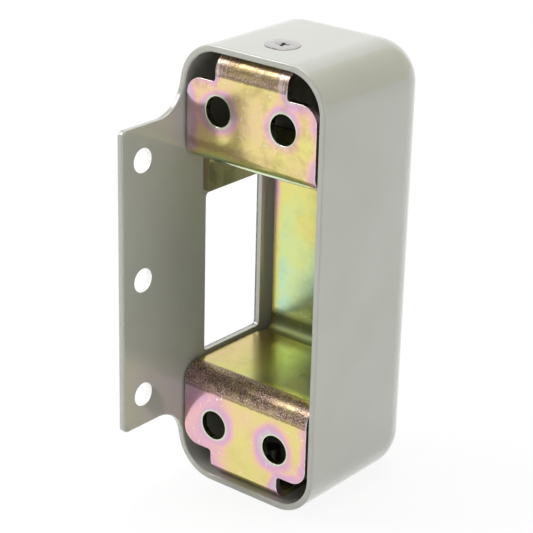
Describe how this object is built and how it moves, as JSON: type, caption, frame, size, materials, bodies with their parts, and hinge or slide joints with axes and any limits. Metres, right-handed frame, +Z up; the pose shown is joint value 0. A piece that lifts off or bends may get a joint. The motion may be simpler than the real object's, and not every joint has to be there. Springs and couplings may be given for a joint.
{
  "type": "surface box strike",
  "caption": "Painted steel box strike for a rim latch: a pressed shell with a drilled side flange and a latch window, screwed over a folded, plated steel bracket.",
  "frame": {"origin": "centre of the four fixing holes, on the mounting plane of the two feet", "axes": "+Z up along the long side, +Y from the mounting plane into the shell, +X away from the side wall with the latch window and the flange"},
  "size_m": [0.0382, 0.0562, 0.1002],
  "materials": {
    "enamel": "gloss enamel, pale grey beige",
    "yellow_zinc": "yellow-chromated zinc plate with pink and green iridescence",
    "screw_steel": "bright zinc plate"
  },
  "bodies": {
    "root": {"cover": "enamel", "bracket": "yellow_zinc", "cover_screw_top": "screw_steel", "cover_screw_bottom": "screw_steel"}
  },
  "joints": []
}
